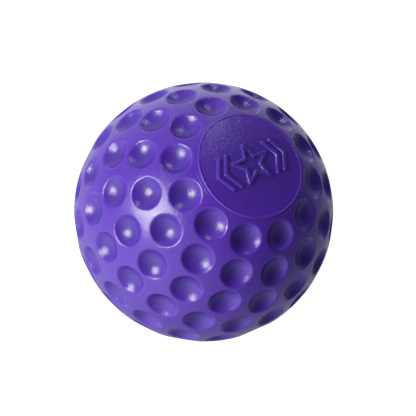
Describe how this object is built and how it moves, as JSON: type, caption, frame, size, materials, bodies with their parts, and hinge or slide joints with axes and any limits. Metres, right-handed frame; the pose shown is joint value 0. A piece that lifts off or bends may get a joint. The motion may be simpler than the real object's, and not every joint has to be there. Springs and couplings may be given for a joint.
{
  "type": "playground ball",
  "caption": "Dimpled rubber playground ball: two moulded cover halves over a thread winding and a bladder, with a raised round emblem pad and an inflation valve in the plain pad opposite.",
  "frame": {"origin": "centre of the ball, on the plane where the two cover halves meet", "axes": "+Z through the middle of the raised emblem pad; -Z out of the valve in the plain pad on the other side; +X on the meridian where every ring of dimples starts, which is also the emblem's left-to-right direction; +Y is the emblem's upward direction"},
  "size_m": [0.127, 0.127, 0.1219],
  "materials": {
    "cover_rubber": "satin, with a fine moulded grain",
    "winding_thread": "matte, wound nylon thread set in latex",
    "bladder_rubber": "matte, smooth butyl",
    "patch_rubber": "matte, buffed",
    "valve_rubber": "satin, moulded",
    "core_rubber": "satin, soft natural rubber"
  },
  "bodies": {
    "root": {"cover_upper_half": "cover_rubber", "cover_lower_half": "cover_rubber", "thread_winding": "winding_thread", "bladder": "bladder_rubber", "valve_patch": "patch_rubber", "valve_body": "valve_rubber", "valve_core": "core_rubber"}
  },
  "joints": []
}
